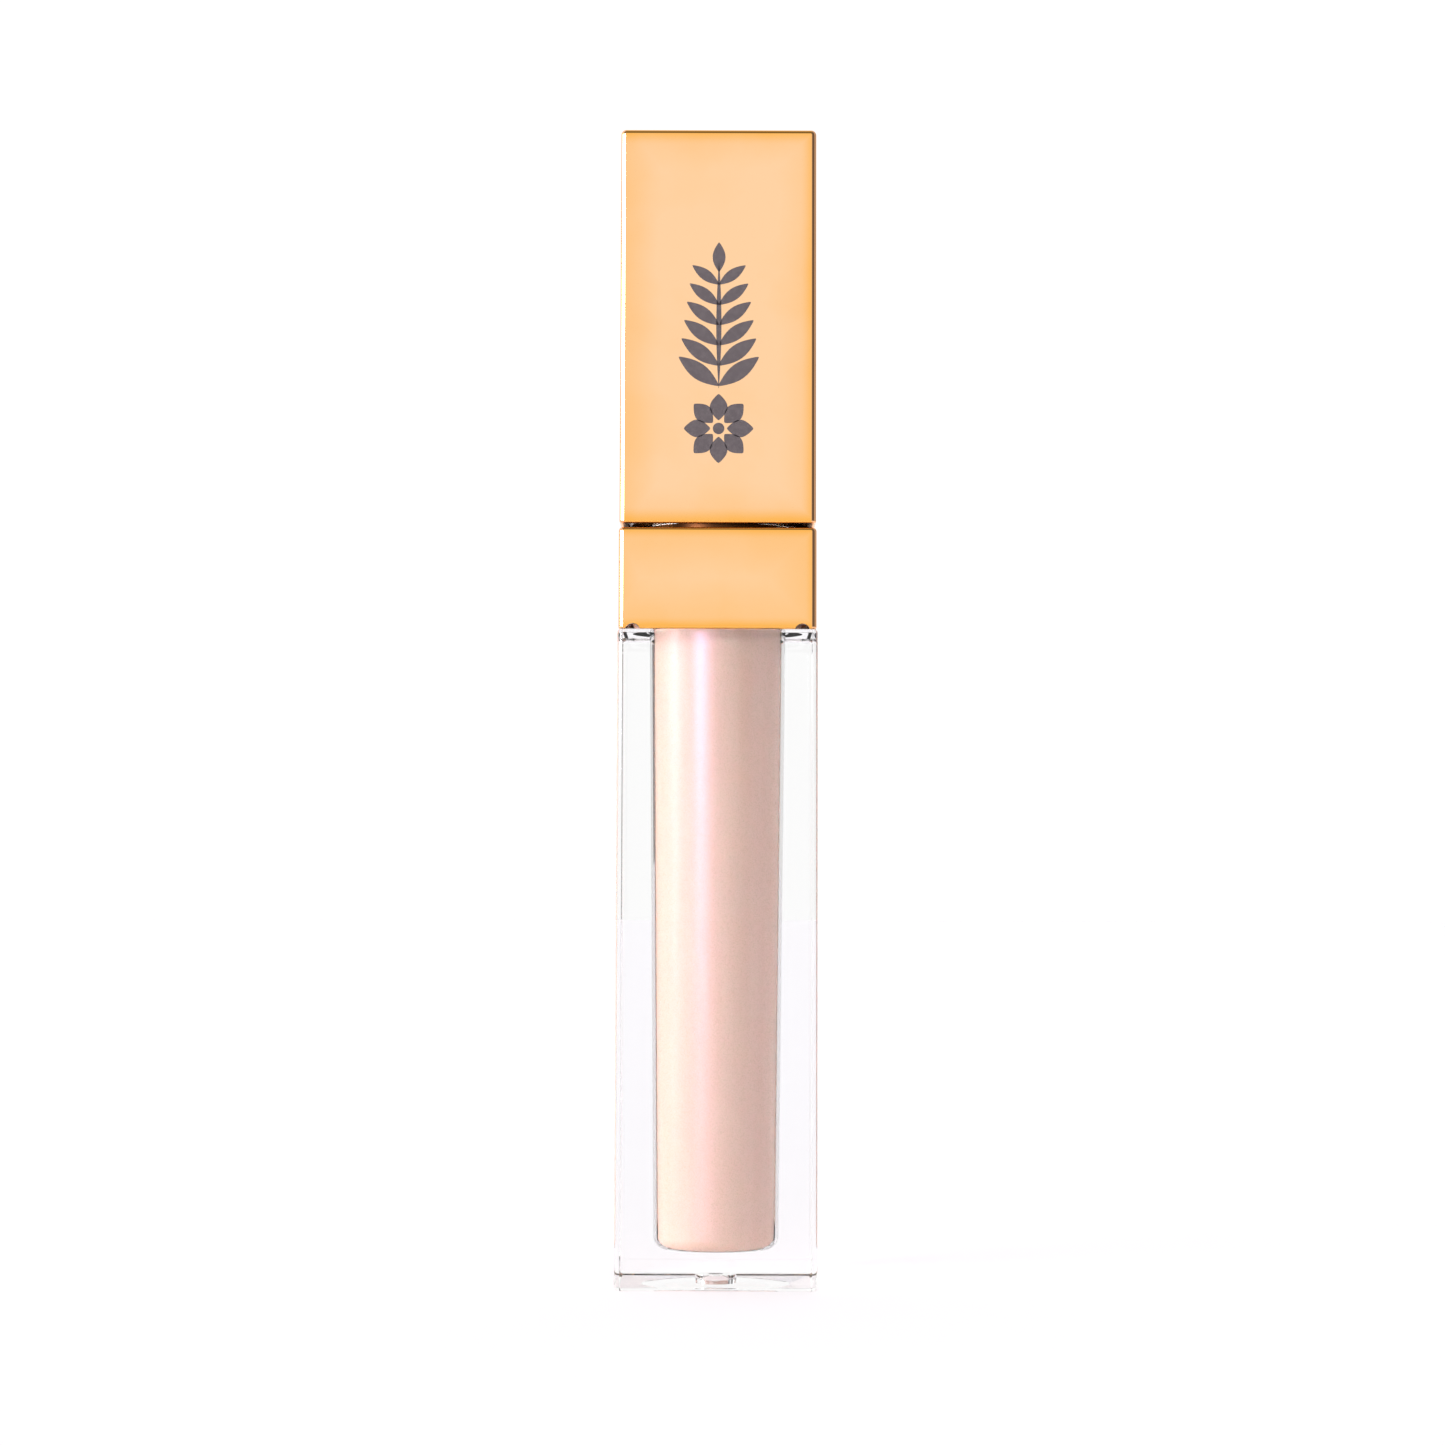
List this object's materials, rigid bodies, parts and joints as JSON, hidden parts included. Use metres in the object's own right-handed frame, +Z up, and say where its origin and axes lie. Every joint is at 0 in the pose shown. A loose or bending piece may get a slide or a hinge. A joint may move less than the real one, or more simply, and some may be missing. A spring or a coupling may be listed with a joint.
{
  "type": "lip gloss tube",
  "caption": "Slim square tube of thick clear plastic with a round chamber of gloss, a mirror-gold collar and a tall screw cap that carries the flocked wand.",
  "frame": {"origin": "centre of the base, on the surface that the tube stands on", "axes": "+Z up along the tube; the printed face of the cap looks along -Y; +X to the right seen from the front"},
  "size_m": [0.019, 0.019, 0.1101],
  "materials": {
    "clear_plastic": "thick clear moulding, polished",
    "gloss": "thick pearly pink lip gloss",
    "soft_translucent": "soft natural polyethylene",
    "gold_collar": "plastic, vacuum metallised mirror gold",
    "gold_cap": "plastic, vacuum metallised mirror gold, small dark print on one face",
    "white_liner": "natural polypropylene",
    "seal": "soft pale sealing ring",
    "wand_plastic": "smooth moulded rod",
    "tip_rubber": "flexible core",
    "flock": "short upright nylon fibres"
  },
  "bodies": {
    "bottle": {"bottle": "clear_plastic", "gloss_fill": "gloss", "wiper_insert": "soft_translucent", "shoulder_collar": "gold_collar"},
    "seal": {"seal_washer": "seal"},
    "wand": {"wand_stem": "wand_plastic"},
    "cap": {"outer_cap": "gold_cap", "inner_cap": "white_liner", "tip_core": "tip_rubber", "tip_flock": "flock"}
  },
  "joints": [
    {"name": "cap_pull", "type": "slide", "parent": "bottle", "child": "seal", "axis": [0, 0, 1], "range_m": [0, 0.085]},
    {"name": "cap_rise", "type": "slide", "parent": "seal", "child": "wand", "axis": [0, 0, 1], "range_m": [0, 0.0045]},
    {"name": "cap_turn", "type": "hinge", "parent": "wand", "child": "cap", "pos_m": [0, 0, 0.08], "axis": [0, 0, 1], "range_deg": [0, 540]}
  ],
  "couplings": [
    {"joint": "cap_rise", "follows": "cap_turn", "m_per_rad": 0.00047746}
  ]
}
